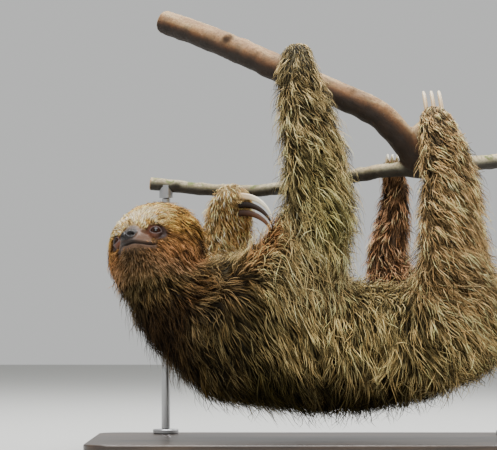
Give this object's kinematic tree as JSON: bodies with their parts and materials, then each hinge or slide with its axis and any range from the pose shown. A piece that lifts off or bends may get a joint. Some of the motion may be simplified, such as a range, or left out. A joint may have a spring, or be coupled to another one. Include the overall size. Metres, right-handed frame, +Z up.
{
  "type": "three-toed sloth",
  "caption": "Life-size still model of a three-toed sloth hanging belly up by its claws from a cut forked branch, on a flat display stand with slim rods.",
  "frame": {"origin": "centre of the underside of the stand's base", "axes": "+X towards the sloth's rump, head at -X; -Y towards the viewer, the side that shows the right arm and leg; +Z up"},
  "size_m": [0.54, 0.3, 0.5022],
  "materials": {
    "coat": "long coarse shaggy hair, olive brown with golden and rusty strands",
    "face_skin": "bare wrinkled skin of the muzzle, lids and lips, satin",
    "nose_skin": "moist black nose pad, semi gloss",
    "eye": "dark brown polished eye",
    "claw": "beige horn, satin",
    "claw_dark": "dark brown horn, satin",
    "bark_brown": "smooth reddish brown bark with pale lichen specks",
    "bark_grey": "grey weathered bark with moss",
    "stand_plate": "dark stained satin hardwood plate",
    "stand_steel": "satin steel rod"
  },
  "bodies": {
    "root": {"head": "coat", "nose": "nose_skin", "eye_left": "eye", "eye_right": "eye", "neck": "coat", "chest": "coat", "belly": "coat", "hips": "coat", "tail": "coat", "upper_arm_right": "coat", "forearm_right": "coat", "hand_right": "coat", "hand_right_claw_1": "claw", "hand_right_claw_2": "claw", "hand_right_claw_3": "claw", "upper_arm_left": "coat", "forearm_left": "coat", "hand_left": "coat", "hand_left_claw_1": "claw_dark", "hand_left_claw_2": "claw_dark", "hand_left_claw_3": "claw_dark", "thigh_right": "coat", "shank_right": "coat", "foot_right": "coat", "foot_right_claw_1": "claw", "foot_right_claw_2": "claw", "foot_right_claw_3": "claw", "thigh_left": "coat", "shank_left": "coat", "foot_left": "coat", "foot_left_claw_1": "claw", "foot_left_claw_2": "claw", "foot_left_claw_3": "claw", "branch_main": "bark_brown", "branch_side_left": "bark_grey", "branch_side_right": "bark_grey", "branch_shoot": "bark_brown", "stand_base": "stand_plate", "stand_foot_left": "stand_steel", "stand_rod_left": "stand_steel", "stand_cup_left": "stand_steel", "stand_foot_right": "stand_steel", "stand_rod_right": "stand_steel", "stand_cup_right": "stand_steel"}
  },
  "joints": []
}
